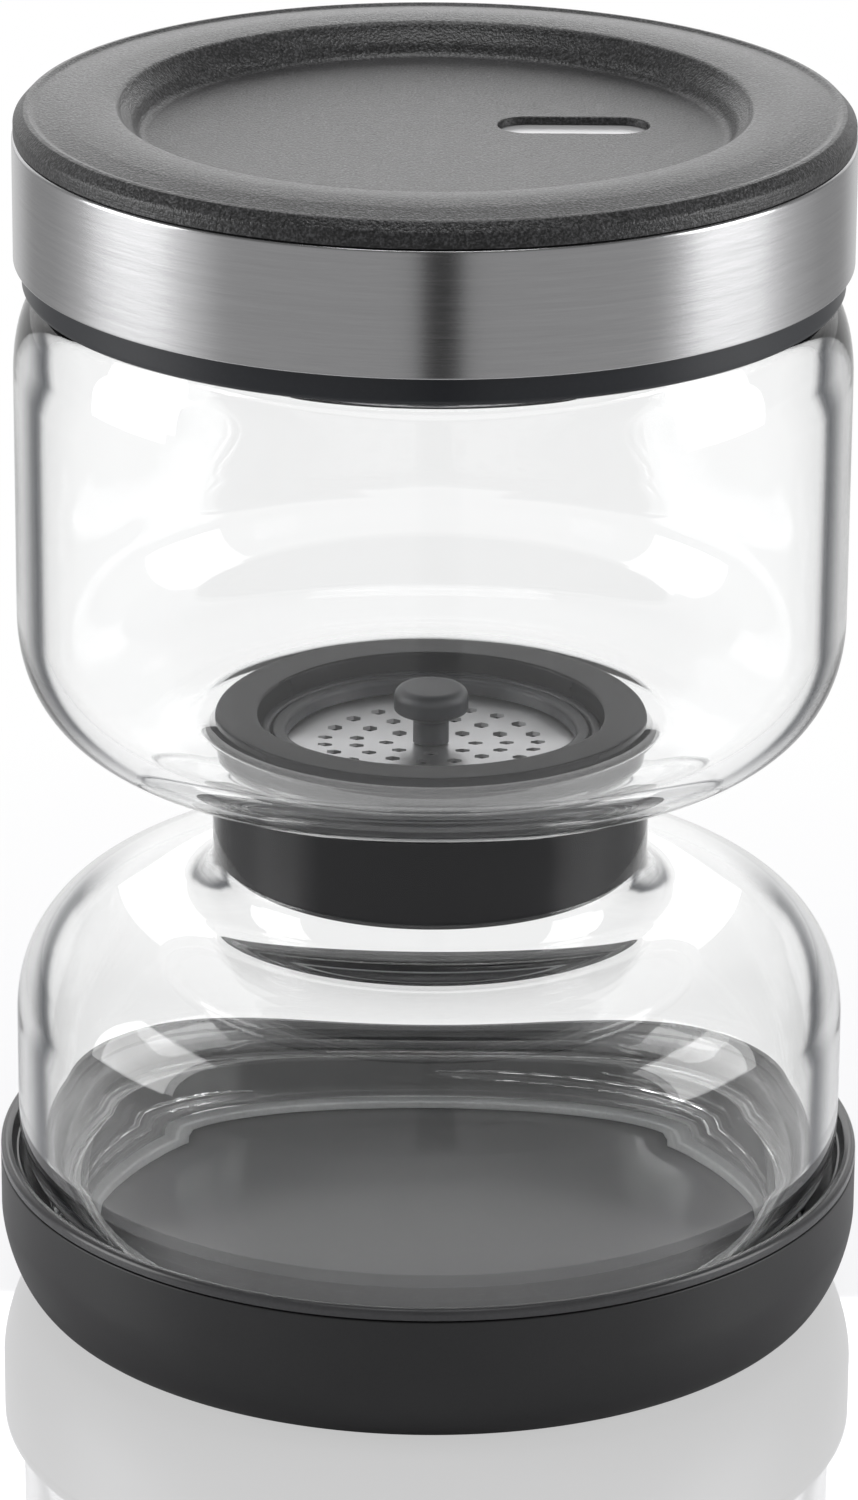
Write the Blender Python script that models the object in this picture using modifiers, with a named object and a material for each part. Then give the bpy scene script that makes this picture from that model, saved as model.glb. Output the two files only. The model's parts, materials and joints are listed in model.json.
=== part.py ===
"""Waisted glass storage jar with a strainer in its neck, a screwed lid and a screwed base cup.

Metres, +Z up. The origin is the centre of the face that the jar stands on, and every turning
or lifting piece moves about or along the Z axis.
"""
import math

import bmesh
import bpy

COLLECTION_NAME = "waisted_storage_jar"
CUTTER_COLLECTION_NAME = "jar_cutters"

# Fits
FIT = 0.0003                    # gap between two pieces that touch on the real jar
OVERRUN = 0.0010                # how far a cutter passes the face that it opens
WELD = 0.00001                  # vertices closer than this are one
EDGE = 0.0004                   # small broken edge on moulded and pressed pieces

# Facets
SEGMENTS = 40                   # sides of the wide turned pieces
NECK_SEGMENTS = 32              # sides of the pieces in the neck
KNOB_SEGMENTS = 16              # sides of the small knob
HOLE_SIDES = 6                  # sides of a strainer hole
CORNER_STEPS = 5                # chords in a wide corner
FILLET_STEPS = 3                # chords in a small fillet
RIDGE_POINTS = 8                # points along one thread ridge

# Glass body
GLASS_WALL = 0.0032
MOUTH_RADIUS = 0.0509           # both mouths, outside, without the thread
UPPER_BULGE = 0.0043            # how far the bowl stands out past its mouth
LOWER_BULGE = 0.0050            # how far the dome stands out past its mouth
NECK_RADIUS = 0.0293
RIM_ROUND = 0.0009
LOWER_MOUTH_LENGTH = 0.0092
LOWER_SHOULDER_HEIGHT = 0.0095
LOWER_WALL_HEIGHT = 0.0136
LOWER_CORNER_HEIGHT = 0.0182
DOME_FLAT = 0.0015              # level ring between the dome's corner and the neck's fillet
WAIST_GAP = 0.0216              # from the top of the dome to the underside of the bowl
NECK_FILLET = 0.0034
UPPER_CORNER_HEIGHT = 0.0186
BOWL_FLAT = 0.0038              # level ring between the neck's fillet and the bowl's corner
UPPER_WALL_HEIGHT = 0.0328
UPPER_SHOULDER_HEIGHT = 0.0108
UPPER_MOUTH_LENGTH = 0.0146
CORNER_FULLNESS_SHARE = 2.3     # exponent of the wide corners, where 2 is an ellipse

# Threads, alike on both mouths
THREAD_STARTS = 3
THREAD_LEAD = 0.0120
THREAD_TURN_SHARE = 0.25        # part of a full turn that a glass ridge runs
LUG_TURN_SHARE = 0.09           # part of a full turn that a lug runs
RIDGE_END_SHARE = 0.5           # thickness of a ridge at its ends
THREAD_STAND = 0.0010           # how far a ridge stands out of the mouth
THREAD_WIRE = 0.0011            # radius of the round ridge
LUG_WIRE = 0.0010               # radius of the round lug
LUG_GAP = 0.0005                # between a lug's crest and the mouth
THREAD_WALL_GAP = 0.0004        # between a ridge's crest and the wall around it
UPPER_THREAD_DROP = 0.0115      # from the top rim down to where a ridge begins
LOWER_THREAD_RISE = 0.0019      # from the bottom rim up to where a ridge begins

# Base cup
BASE_CORNER = 0.0050
FOOT_PROUD = 0.0004
FOOT_GROOVE_DEPTH = 0.0009
FOOT_INSET = 0.0094             # from the base's side in to the foot's groove
FOOT_WIDTH = 0.0060
SHELL_FLOOR = 0.0018
SHELL_WALL = 0.0021
SHELL_INNER_CORNER = 0.0030
LINER_FLOOR = 0.0018
LINER_WALL = 0.0017
LINER_FLARE_DROP = 0.0019       # how far the flare begins below the glass's shoulder
LINER_FLARE_HEIGHT = 0.0032
LINER_FLARE_INSET = 0.0006      # flared wall's radius under that of the glass above it
LINER_FLARE_SHARE = 0.6         # outer flare's height over the inner one's
LINER_CORNER = 0.0020
LIP_RISE = 0.0020               # from the flare's top up to the lip's underside
LIP_HEIGHT = 0.0015
LIP_GAP = 0.0010                # between the lip and the glass that passes it
LIP_WIDTH = 0.0015
LIP_ROUND = 0.0008
LIP_SLOPE = 0.0002
BASE_SEAL_THICKNESS = 0.0016

# Lid
BAND_THICKNESS = 0.0008
BAND_FLANGE = 0.0035            # turned-in rim that the cap clamps
SKIRT_DROP = 0.0038             # how far the lid's core shows below the band
SKIRT_CHAMFER = 0.0006
SKIRT_GAP = 0.00075             # from the glass's shoulder up to the skirt
SKIRT_WALL = 0.0016             # core's wall outside its thread bore
LID_SEAL_THICKNESS = 0.0018
CORE_PLATE = 0.0018
CORE_BOSS_DEPTH = 0.0040
CORE_BOSS_WALL = 0.0018
CORE_BOSS_GAP = 0.0009
CORE_RIM_WIDTH = 0.0044
CAP_INSET = 0.0002              # cap's radius under the band's
CAP_FLOOR = 0.0018
CAP_SKIN = 0.0020
CAP_CROWN_DEPTH = 0.0043        # from the outer ring down to the sunk floor
CAP_SIDE_HEIGHT = 0.00405       # from the outer ring down to the band's top
CAP_FLOOR_MARGIN = 0.0173       # from the cap's side in to the sunk floor's corner
CAP_RIM_MARGIN = 0.0124         # from the cap's side in to the recess's rim
CAP_FOOT_FILLET = 0.0014
CAP_RIM_ROUND = 0.0020
CAP_SLOPE_DEGREES = 52          # steepness of the wall round the sunk floor
CAP_EDGE_WIDTH = 0.0030
CAP_EDGE_HEIGHT = 0.0018
CAP_SHADOW_GAP = 0.0007         # dark line between cap and band
CAP_SHADOW_DEPTH = 0.0014
CAP_SPIGOT_WALL = 0.0017
WINDOW_LENGTH = 0.0198
WINDOW_WIDTH = 0.0078
WINDOW_X = 0.0181
WINDOW_Y = 0.0042
BADGE_MARGIN = 0.0013           # how far the plate reaches under the window's edge
BADGE_THICKNESS = 0.0005

# Neck collar, strainer and knob
COLLAR_RISE = 0.0003            # from the end of the neck's lower fillet up to the collar
COLLAR_FLANGE_DEGREES = 55      # how far the collar's lip follows the glass
COLLAR_LIP = 0.0012
COLLAR_WALL = 0.0053
COLLAR_SEAT_WALL = 0.0026       # collar's wall outside the strainer
COLLAR_SEAT_DEPTH = 0.0078      # from the collar's top down to the strainer's seat
COLLAR_CHAMFER = 0.0008
FRAME_WALL = 0.0013
FRAME_LEDGE = 0.0018
FRAME_LEDGE_WIDTH = 0.0035      # from the frame's outside to its clear opening
STRAINER_DISC = 0.0006
CLAMP_HEIGHT = 0.0020
HOLE_RADIUS = 0.0011
HOLE_PITCH = 0.0042
HOLE_FIRST_RING = 0.0060
KNOB_STEM_RADIUS = 0.0016
KNOB_FOOT_RADIUS = 0.0034
KNOB_FOOT_HEIGHT = 0.0010
KNOB_WAIST_RADIUS = 0.0024
KNOB_HEAD_RADIUS = 0.0050
KNOB_HEAD_HEIGHT = 0.0032
KNOB_HEAD_ROUND = 0.0014
KNOB_HEIGHT = 0.0080            # above the disc

# Radii that follow the mouth and the neck
UPPER_RADIUS = MOUTH_RADIUS + UPPER_BULGE
LOWER_RADIUS = MOUTH_RADIUS + LOWER_BULGE
WAIST_RADIUS = NECK_RADIUS + NECK_FILLET
UPPER_CORNER_WIDTH = UPPER_RADIUS - WAIST_RADIUS - BOWL_FLAT
LOWER_CORNER_WIDTH = LOWER_RADIUS - WAIST_RADIUS - DOME_FLAT
MOUTH_BORE = MOUTH_RADIUS - GLASS_WALL
NECK_BORE = NECK_RADIUS - GLASS_WALL
THREAD_AXIS_RADIUS = MOUTH_RADIUS + THREAD_STAND - THREAD_WIRE
THREAD_BORE = MOUTH_RADIUS + THREAD_STAND + THREAD_WALL_GAP
LUG_AXIS_RADIUS = MOUTH_RADIUS + LUG_GAP + LUG_WIRE
LUG_OFFSET = math.sqrt((THREAD_WIRE + LUG_WIRE + FIT) ** 2
                       - (LUG_AXIS_RADIUS - THREAD_AXIS_RADIUS) ** 2)
CORE_RADIUS = THREAD_BORE + SKIRT_WALL
CORE_RIM_BORE = CORE_RADIUS - CORE_RIM_WIDTH
CORE_BOSS_RADIUS = MOUTH_BORE - CORE_BOSS_GAP
BAND_BORE = CORE_RADIUS + FIT
BAND_RADIUS = BAND_BORE + BAND_THICKNESS
CAP_RADIUS = BAND_RADIUS - CAP_INSET
CAP_FLOOR_RADIUS = CAP_RADIUS - CAP_FLOOR_MARGIN
CAP_RIM_RADIUS = CAP_RADIUS - CAP_RIM_MARGIN
SEAL_BORE = CORE_BOSS_RADIUS + FIT
SEAL_RADIUS = THREAD_BORE - FIT
LIP_BORE = LOWER_RADIUS + LIP_GAP
BASE_RADIUS = LIP_BORE + LIP_WIDTH
SHELL_BORE = BASE_RADIUS - SHELL_WALL
FOOT_RADIUS = BASE_RADIUS - FOOT_INSET
COLLAR_RADIUS = NECK_BORE - FIT
COLLAR_BORE = COLLAR_RADIUS - COLLAR_WALL
COLLAR_SEAT_RADIUS = COLLAR_RADIUS - COLLAR_SEAT_WALL
STRAINER_RADIUS = COLLAR_SEAT_RADIUS - FIT
FRAME_BORE = STRAINER_RADIUS - FRAME_LEDGE_WIDTH
DISC_RADIUS = STRAINER_RADIUS - FRAME_WALL - FIT

# Heights along the glass, from its bottom rim
LOWER_WALL_FOOT = LOWER_MOUTH_LENGTH + LOWER_SHOULDER_HEIGHT
LOWER_WALL_TOP = LOWER_WALL_FOOT + LOWER_WALL_HEIGHT
DOME_TOP = LOWER_WALL_TOP + LOWER_CORNER_HEIGHT
BOWL_UNDERSIDE = DOME_TOP + WAIST_GAP
UPPER_WALL_FOOT = BOWL_UNDERSIDE + UPPER_CORNER_HEIGHT
UPPER_WALL_TOP = UPPER_WALL_FOOT + UPPER_WALL_HEIGHT
GLASS_HEIGHT = UPPER_WALL_TOP + UPPER_SHOULDER_HEIGHT + UPPER_MOUTH_LENGTH
NECK_FOOT = DOME_TOP + NECK_FILLET
NECK_TOP = BOWL_UNDERSIDE - NECK_FILLET

# Heights of the pieces above the table
LINER_LEVEL = FOOT_PROUD + SHELL_FLOOR + FIT
BASE_SEAL_LEVEL = LINER_LEVEL + LINER_FLOOR + FIT
GLASS_LEVEL = BASE_SEAL_LEVEL + BASE_SEAL_THICKNESS + FIT
LID_SEAL_LEVEL = GLASS_LEVEL + GLASS_HEIGHT + FIT
CORE_PLATE_LEVEL = LID_SEAL_LEVEL + LID_SEAL_THICKNESS + FIT
CAP_LEVEL = CORE_PLATE_LEVEL + CORE_PLATE + FIT
CAP_TOP_LEVEL = CAP_LEVEL + CAP_FLOOR + CAP_CROWN_DEPTH
BAND_TOP_LEVEL = CAP_TOP_LEVEL - CAP_SIDE_HEIGHT
CORE_LEVEL = GLASS_LEVEL + UPPER_WALL_TOP + UPPER_SHOULDER_HEIGHT + SKIRT_GAP
BAND_LEVEL = CORE_LEVEL + SKIRT_DROP
BAND_HEIGHT = BAND_TOP_LEVEL - BAND_LEVEL
COLLAR_LEVEL = GLASS_LEVEL + NECK_FOOT + COLLAR_RISE

# Heights in the base cup
LINER_FLARE_FOOT = GLASS_LEVEL + LOWER_MOUTH_LENGTH - LINER_FLARE_DROP - LINER_LEVEL
LINER_FLARE_TOP = LINER_FLARE_FOOT + LINER_FLARE_HEIGHT
LIP_FOOT = LINER_FLARE_TOP + LIP_RISE
SHELL_HEIGHT = LINER_LEVEL + LIP_FOOT - FIT - FOOT_PROUD

# Sizes of the collar and of what sits in it
COLLAR_FLANGE_CENTRE = (WAIST_RADIUS, NECK_TOP - NECK_FOOT - COLLAR_RISE)
COLLAR_FLANGE_RADIUS = NECK_FILLET + GLASS_WALL + FIT
COLLAR_FLANGE_RISE = COLLAR_FLANGE_RADIUS * math.sin(math.radians(COLLAR_FLANGE_DEGREES))
COLLAR_HEIGHT = COLLAR_FLANGE_CENTRE[1] + COLLAR_FLANGE_RISE + COLLAR_LIP
FRAME_LEVEL = COLLAR_LEVEL + COLLAR_HEIGHT - COLLAR_SEAT_DEPTH + FIT
DISC_LEVEL = FRAME_LEVEL + FRAME_LEDGE + FIT
CLAMP_LEVEL = DISC_LEVEL + STRAINER_DISC + FIT
FRAME_HEIGHT = CLAMP_LEVEL + CLAMP_HEIGHT - FRAME_LEVEL
KNOB_LEVEL = DISC_LEVEL - FIT - KNOB_FOOT_HEIGHT
KNOB_COLLAR_HEIGHT = CLAMP_LEVEL - KNOB_LEVEL


def clear_scene():
    """Remove what a new file holds."""
    for thing in list(bpy.data.objects):
        bpy.data.objects.remove(thing, do_unlink=True)


def new_collection(name):
    """Make a collection and link it to the scene."""
    made = bpy.data.collections.new(name)
    bpy.context.scene.collection.children.link(made)
    return made


def new_material(name, colour, roughness, metallic=0.0, transmission=0.0):
    """Make a Principled material of one colour."""
    made = bpy.data.materials.new(name)
    made.use_nodes = True
    shader = made.node_tree.nodes["Principled BSDF"]
    shader.inputs["Base Color"].default_value = (*colour, 1.0)
    shader.inputs["Roughness"].default_value = roughness
    shader.inputs["Metallic"].default_value = metallic
    shader.inputs["Transmission Weight"].default_value = transmission
    return made


def new_axis(name, level, parent=None):
    """Make an empty on the jar's axis for pieces that move together."""
    made = bpy.data.objects.new(name, None)
    made["level"] = level
    made.parent = parent
    made.location.z = level - (parent["level"] if parent else 0.0)
    parts.objects.link(made)
    return made


def place(piece, axis, level, material):
    """Stand a piece on the jar's axis at a height above the table and give it its material."""
    piece.parent = axis
    piece.location.z += level - axis["level"]
    piece.data.materials.append(material)


def link(piece, is_cutter=False):
    """Put a piece in its collection, and keep a cutter out of the render."""
    (cutters if is_cutter else parts).objects.link(piece)
    if is_cutter:
        piece.hide_render = True
        piece.display_type = "WIRE"
    return piece


def arc(centre, width, height, start, end, steps, fullness=2.0):
    """Points of an elliptic arc from one angle to another, both in degrees."""
    points = []
    for step in range(steps + 1):
        angle = math.radians(start + (end - start) * step / steps)
        across = math.copysign(abs(math.cos(angle)) ** (2.0 / fullness), math.cos(angle))
        up = math.copysign(abs(math.sin(angle)) ** (2.0 / fullness), math.sin(angle))
        points.append((centre[0] + width * across, centre[1] + height * up))
    return points


def turned(name, profile, segments=SEGMENTS):
    """Turn a profile of (radius, height) points about the jar's axis.

    A profile runs down its outer side. One that starts and ends on the axis stays open there,
    and any other is a closed ring.
    """
    outline = [profile[0]]
    for point in profile[1:]:
        if math.dist(point, outline[-1]) > WELD:
            outline.append(point)
    edges = [(index, index + 1) for index in range(len(outline) - 1)]
    if outline[0][0] > 0.0:
        edges.append((len(outline) - 1, 0))
    mesh = bpy.data.meshes.new(name)
    mesh.from_pydata([(radius, 0.0, height) for radius, height in outline], edges, [])
    piece = link(bpy.data.objects.new(name, mesh))
    screw = piece.modifiers.new("turn", "SCREW")
    screw.axis = "Z"
    screw.angle = math.tau
    screw.steps = segments
    screw.render_steps = segments
    screw.use_merge_vertices = True
    screw.merge_threshold = WELD
    screw.use_smooth_shade = True
    return piece


def mesh_from_curve(curve_object):
    """Replace a filled curve object with a welded mesh object of the same name."""
    bpy.context.view_layer.update()
    graph = bpy.context.evaluated_depsgraph_get()
    mesh = bpy.data.meshes.new_from_object(curve_object.evaluated_get(graph))
    shape = bmesh.new()
    shape.from_mesh(mesh)
    bmesh.ops.remove_doubles(shape, verts=shape.verts, dist=WELD)
    shape.to_mesh(mesh)
    shape.free()
    name = curve_object.name
    is_cutter = curve_object.hide_render
    matrix = curve_object.matrix_world.copy()
    bpy.data.objects.remove(curve_object, do_unlink=True)
    piece = link(bpy.data.objects.new(name, mesh), is_cutter)
    piece.matrix_world = matrix
    return piece


def combine(piece, tool, operation):
    """Cut a tool out of a piece or join it on. The tool moves with the piece."""
    tool.parent = piece
    boolean = piece.modifiers.new(tool.name, "BOOLEAN")
    boolean.operation = operation
    boolean.solver = "EXACT"
    boolean.object = tool


def helical_ridges(name, radius, level, wire, first_share, turn_share):
    """Round ridges along a right-hand helix, one for each start, with thinner ends.

    The level is the helix's height at no turn. The two shares of a full turn say where the
    first ridge begins and how far it runs.
    """
    curve = bpy.data.curves.new(name, "CURVE")
    curve.dimensions = "3D"
    curve.bevel_depth = wire
    curve.bevel_resolution = 1
    curve.use_fill_caps = True
    for start in range(THREAD_STARTS):
        spline = curve.splines.new("POLY")
        spline.points.add(RIDGE_POINTS - 1)
        for index, point in enumerate(spline.points):
            turn = first_share + turn_share * index / (RIDGE_POINTS - 1)
            angle = math.tau * (turn + start / THREAD_STARTS)
            point.co = (radius * math.cos(angle), radius * math.sin(angle),
                        level + THREAD_LEAD * turn, 1.0)
        spline.points[0].radius = RIDGE_END_SHARE
        spline.points[-1].radius = RIDGE_END_SHARE
    return mesh_from_curve(link(bpy.data.objects.new(name, curve), is_cutter=True))


def lugs(name, thread_level):
    """Short ridges inside a cap or cup, half-way along the glass thread at the given level."""
    first_share = (THREAD_TURN_SHARE - LUG_TURN_SHARE) / 2
    return helical_ridges(name, LUG_AXIS_RADIUS, thread_level, LUG_WIRE, first_share,
                          LUG_TURN_SHARE)


def stadium(name, margin, foot, top, is_cutter=False):
    """A plate with round ends under the cap's window, wider than it by a margin all round."""
    curve = bpy.data.curves.new(name, "CURVE")
    curve.dimensions = "2D"
    curve.fill_mode = "BOTH"
    curve.extrude = (top - foot) / 2
    half = (WINDOW_LENGTH - WINDOW_WIDTH) / 2
    end = WINDOW_WIDTH / 2 + margin
    outline = (arc((half, 0.0), end, end, -90, 90, CORNER_STEPS)
               + arc((-half, 0.0), end, end, 90, 270, CORNER_STEPS))
    spline = curve.splines.new("POLY")
    spline.points.add(len(outline) - 1)
    for point, (across, along) in zip(spline.points, outline):
        point.co = (across, along, 0.0, 1.0)
    spline.use_cyclic_u = True
    plate = link(bpy.data.objects.new(name, curve), is_cutter)
    plate.location = (WINDOW_X, WINDOW_Y, (foot + top) / 2)
    return mesh_from_curve(plate)


def glass_skin(inset):
    """The glass's profile from the upper mouth down to the lower one, moved in by an inset."""
    upper = WAIST_RADIUS + BOWL_FLAT
    lower = WAIST_RADIUS + DOME_FLAT
    fillet = NECK_FILLET + inset
    return (arc((MOUTH_RADIUS - inset, UPPER_WALL_TOP), UPPER_BULGE,
                UPPER_SHOULDER_HEIGHT, 90, 0, FILLET_STEPS)
            + arc((upper, UPPER_WALL_FOOT), UPPER_CORNER_WIDTH - inset,
                  UPPER_CORNER_HEIGHT - inset, 0, -90, CORNER_STEPS, CORNER_FULLNESS_SHARE)
            + arc((WAIST_RADIUS, NECK_TOP), fillet, fillet, 90, 180, FILLET_STEPS)
            + arc((WAIST_RADIUS, NECK_FOOT), fillet, fillet, 180, 270, FILLET_STEPS)
            + arc((lower, LOWER_WALL_TOP), LOWER_CORNER_WIDTH - inset,
                  LOWER_CORNER_HEIGHT - inset, 90, 0, CORNER_STEPS, CORNER_FULLNESS_SHARE)
            + arc((MOUTH_RADIUS - inset, LOWER_WALL_FOOT), LOWER_BULGE,
                  LOWER_SHOULDER_HEIGHT, 0, -90, FILLET_STEPS))


def make_glass_body(axis):
    """One piece of glass: bowl, neck and dome, with a threaded mouth at each end."""
    outside = [(MOUTH_RADIUS - RIM_ROUND, GLASS_HEIGHT), (MOUTH_RADIUS, GLASS_HEIGHT - RIM_ROUND)]
    outside += glass_skin(0.0)
    outside += [(MOUTH_RADIUS, RIM_ROUND), (MOUTH_RADIUS - RIM_ROUND, 0.0)]
    inside = [(MOUTH_BORE + RIM_ROUND, 0.0), (MOUTH_BORE, RIM_ROUND)]
    inside += glass_skin(GLASS_WALL)[::-1]
    inside += [(MOUTH_BORE, GLASS_HEIGHT - RIM_ROUND), (MOUTH_BORE + RIM_ROUND, GLASS_HEIGHT)]
    body = turned("glass_body", outside + inside)
    for name, level in (("upper_thread", GLASS_HEIGHT - UPPER_THREAD_DROP),
                        ("lower_thread", LOWER_THREAD_RISE)):
        ridges = helical_ridges(name, THREAD_AXIS_RADIUS, level, THREAD_WIRE, 0.0,
                                THREAD_TURN_SHARE)
        combine(body, ridges, "UNION")
    place(body, axis, GLASS_LEVEL,
          new_material("clear_glass", (0.95, 0.97, 0.97), 0.02, transmission=1.0))


def make_base_shell(axis):
    """Outer cup of the base, with a groove under its floor for the foot ring."""
    foot_bore = FOOT_RADIUS - FOOT_WIDTH
    profile = [(0.0, SHELL_FLOOR)]
    profile += arc((SHELL_BORE - SHELL_INNER_CORNER, SHELL_FLOOR + SHELL_INNER_CORNER),
                   SHELL_INNER_CORNER, SHELL_INNER_CORNER, -90, 0, FILLET_STEPS)
    profile += [(SHELL_BORE, SHELL_HEIGHT), (BASE_RADIUS - EDGE, SHELL_HEIGHT),
                (BASE_RADIUS, SHELL_HEIGHT - EDGE)]
    profile += arc((BASE_RADIUS - BASE_CORNER, BASE_CORNER), BASE_CORNER, BASE_CORNER, 0, -90,
                   CORNER_STEPS)
    profile += [(FOOT_RADIUS, 0.0), (FOOT_RADIUS, FOOT_GROOVE_DEPTH),
                (foot_bore, FOOT_GROOVE_DEPTH), (foot_bore, 0.0), (0.0, 0.0)]
    shell = turned("base_shell", profile)
    place(shell, axis, FOOT_PROUD, new_material("matt_plastic", (0.045, 0.045, 0.048), 0.55))


def make_base_foot(axis):
    """Soft ring in the groove under the base, which keeps the jar from slipping."""
    radius = FOOT_RADIUS - FIT
    bore = FOOT_RADIUS - FOOT_WIDTH + FIT
    height = FOOT_PROUD + FOOT_GROOVE_DEPTH - FIT
    ring = turned("base_foot", [(radius, height), (radius, EDGE), (radius - EDGE, 0.0),
                                (bore + EDGE, 0.0), (bore, EDGE), (bore, height)])
    place(ring, axis, 0.0, new_material("foot_rubber", (0.02, 0.02, 0.02), 0.8))


def make_base_liner(axis):
    """Inner cup of the base: floor, wall with lugs, and the lip that covers the shell's edge."""
    lip_top = LIP_FOOT + LIP_HEIGHT
    outer = THREAD_BORE + LINER_WALL
    upper_outer = SHELL_BORE - FIT
    profile = [(0.0, LINER_FLOOR), (THREAD_BORE, LINER_FLOOR), (THREAD_BORE, LINER_FLARE_FOOT),
               (LOWER_RADIUS - LINER_FLARE_INSET, LINER_FLARE_TOP),
               (LIP_BORE, lip_top - LIP_SLOPE), (BASE_RADIUS - LIP_ROUND, lip_top)]
    profile += arc((BASE_RADIUS - LIP_ROUND, lip_top - LIP_ROUND), LIP_ROUND, LIP_ROUND, 90, 0,
                   FILLET_STEPS)
    profile += [(BASE_RADIUS, LIP_FOOT), (upper_outer, LIP_FOOT),
                (upper_outer, LINER_FLARE_FOOT + LINER_FLARE_HEIGHT * LINER_FLARE_SHARE),
                (outer, LINER_FLARE_FOOT)]
    profile += arc((outer - LINER_CORNER, LINER_CORNER), LINER_CORNER, LINER_CORNER, 0, -90,
                   FILLET_STEPS)
    profile.append((0.0, 0.0))
    liner = turned("base_liner", profile)
    combine(liner, lugs("base_lugs", GLASS_LEVEL - LINER_LEVEL + LOWER_THREAD_RISE + LUG_OFFSET),
            "UNION")
    place(liner, axis, LINER_LEVEL, new_material("liner_plastic", (0.06, 0.06, 0.065), 0.4))


def make_seal(name, axis, level, thickness):
    """Flat ring that a rim of the glass presses on."""
    ring = turned(name, [(SEAL_RADIUS, thickness), (SEAL_RADIUS, 0.0), (SEAL_BORE, 0.0),
                         (SEAL_BORE, thickness)])
    place(ring, axis, level, new_material(name + "_silicone", (0.55, 0.56, 0.56), 0.6))


def make_lid_core(axis):
    """Threaded inner lid, whose skirt shows below the band."""
    plate_foot = CORE_PLATE_LEVEL - CORE_LEVEL
    plate_top = plate_foot + CORE_PLATE
    rim_top = BAND_TOP_LEVEL - BAND_THICKNESS - FIT - CORE_LEVEL
    boss_bore = CORE_BOSS_RADIUS - CORE_BOSS_WALL
    profile = [(0.0, plate_top), (CORE_RIM_BORE, plate_top), (CORE_RIM_BORE, rim_top),
               (CORE_RADIUS, rim_top), (CORE_RADIUS, SKIRT_CHAMFER),
               (CORE_RADIUS - SKIRT_CHAMFER, 0.0), (THREAD_BORE, 0.0), (THREAD_BORE, plate_foot),
               (CORE_BOSS_RADIUS, plate_foot), (CORE_BOSS_RADIUS, plate_foot - CORE_BOSS_DEPTH),
               (boss_bore, plate_foot - CORE_BOSS_DEPTH), (boss_bore, plate_foot),
               (0.0, plate_foot)]
    core = turned("lid_core", profile)
    thread_level = GLASS_LEVEL + GLASS_HEIGHT - UPPER_THREAD_DROP - CORE_LEVEL
    combine(core, lugs("lid_lugs", thread_level - LUG_OFFSET), "UNION")
    place(core, axis, CORE_LEVEL, new_material("core_plastic", (0.03, 0.033, 0.038), 0.3))


def make_lid_band(axis):
    """Steel band round the lid, with a turned-in top rim between core and cap."""
    flange_bore = BAND_BORE - BAND_FLANGE
    under_flange = BAND_HEIGHT - BAND_THICKNESS
    profile = [(flange_bore, BAND_HEIGHT), (BAND_RADIUS - EDGE, BAND_HEIGHT),
               (BAND_RADIUS, BAND_HEIGHT - EDGE), (BAND_RADIUS, EDGE), (BAND_RADIUS - EDGE, 0.0),
               (BAND_BORE, 0.0), (BAND_BORE, under_flange), (flange_bore, under_flange)]
    band = turned("lid_band", profile)
    place(band, axis, BAND_LEVEL,
          new_material("brushed_steel", (0.6, 0.6, 0.6), 0.3, metallic=1.0))


def make_lid_cap(axis):
    """Grained cover with a sunk floor, a window for the plate and a spigot inside the core."""
    crown = CAP_FLOOR + CAP_CROWN_DEPTH
    seat = BAND_TOP_LEVEL + FIT - CAP_LEVEL
    shadow = BAND_TOP_LEVEL + CAP_SHADOW_GAP - CAP_LEVEL
    spigot = CORE_RIM_BORE - FIT
    slope = CAP_SLOPE_DEGREES
    profile = [(0.0, CAP_FLOOR)]
    profile += arc((CAP_FLOOR_RADIUS, CAP_FLOOR + CAP_FOOT_FILLET), CAP_FOOT_FILLET,
                   CAP_FOOT_FILLET, -90, slope - 90, FILLET_STEPS)
    profile += arc((CAP_RIM_RADIUS, crown - CAP_RIM_ROUND), CAP_RIM_ROUND, CAP_RIM_ROUND,
                   slope + 90, 90, FILLET_STEPS)
    profile += arc((CAP_RADIUS - CAP_EDGE_WIDTH, crown - CAP_EDGE_HEIGHT), CAP_EDGE_WIDTH,
                   CAP_EDGE_HEIGHT, 90, 0, FILLET_STEPS)
    profile += [(CAP_RADIUS, shadow), (CAP_RADIUS - CAP_SHADOW_DEPTH, shadow),
                (CAP_RADIUS - CAP_SHADOW_DEPTH, seat), (spigot, seat), (spigot, 0.0),
                (spigot - CAP_SPIGOT_WALL, 0.0), (spigot - CAP_SPIGOT_WALL, crown - CAP_SKIN),
                (CAP_RIM_RADIUS + CAP_SKIN, crown - CAP_SKIN), (CAP_FLOOR_RADIUS + CAP_SKIN, 0.0),
                (0.0, 0.0)]
    cap = turned("lid_cap", profile)
    pocket_top = BADGE_THICKNESS + FIT
    combine(cap, stadium("badge_pocket", BADGE_MARGIN + FIT, -OVERRUN, pocket_top,
                         is_cutter=True), "DIFFERENCE")
    combine(cap, stadium("badge_window", 0.0, -OVERRUN, CAP_FLOOR + OVERRUN, is_cutter=True),
            "DIFFERENCE")
    place(cap, axis, CAP_LEVEL, new_material("grained_plastic", (0.08, 0.08, 0.08), 0.6))


def make_lid_badge(axis):
    """Bare metal plate behind the cap's window."""
    badge = stadium("lid_badge", BADGE_MARGIN, 0.0, BADGE_THICKNESS)
    place(badge, axis, CAP_LEVEL,
          new_material("badge_metal", (0.7, 0.7, 0.7), 0.25, metallic=1.0))


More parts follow.
